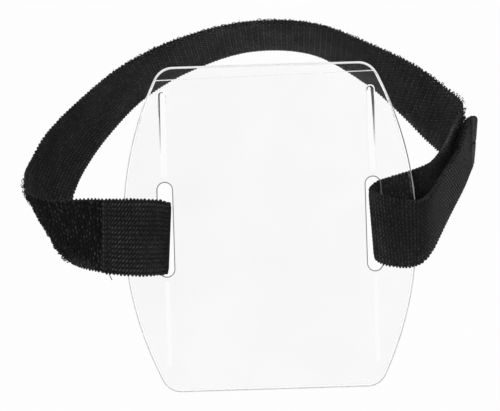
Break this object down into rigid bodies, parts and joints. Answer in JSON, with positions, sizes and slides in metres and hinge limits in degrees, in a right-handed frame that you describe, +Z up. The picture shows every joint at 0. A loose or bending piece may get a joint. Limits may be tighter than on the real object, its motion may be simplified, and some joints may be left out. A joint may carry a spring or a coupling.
{
  "type": "arm badge holder",
  "caption": "Clear vinyl card pocket with bowed sides, carried on a black elastic armband that passes through slots in the pocket and closes with a hook-and-loop tab.",
  "frame": {"origin": "on the table, under the middle of the whole object's box", "axes": "+X to the right across the pocket as seen from its front, +Y from the pocket's lower edge towards the back of the armband, +Z up from the table"},
  "size_m": [0.159, 0.134, 0.0474],
  "materials": {
    "clear_vinyl": "clear, flexible, glossy",
    "elastic": "ribbed woven elastic with a looped pile face",
    "hook_tape": "moulded hook tape",
    "thread": "sewing thread"
  },
  "bodies": {
    "holder": {"back_sheet": "clear_vinyl", "front_sheet": "clear_vinyl", "edge_weld": "clear_vinyl", "weld_upper_left": "clear_vinyl", "weld_lower_left": "clear_vinyl", "weld_upper_right": "clear_vinyl", "weld_lower_right": "clear_vinyl", "strap_band": "elastic", "band_seam": "thread"},
    "tail": {"strap_tail": "elastic"},
    "tab": {"strap_tab": "elastic", "hook_patch": "hook_tape", "hook_seam": "thread"}
  },
  "joints": [
    {"name": "tail_peel", "type": "hinge", "parent": "holder", "child": "tail", "pos_m": [0.04423, -0.02105, 0.0287], "axis": [0.0786, -0.7781, -0.6232], "range_deg": [0, 110]},
    {"name": "tab_peel", "type": "hinge", "parent": "tail", "child": "tab", "pos_m": [0.07298, 0.00447, 0.02185], "axis": [0.1516, -0.1897, -0.9701], "range_deg": [0, 70]}
  ]
}
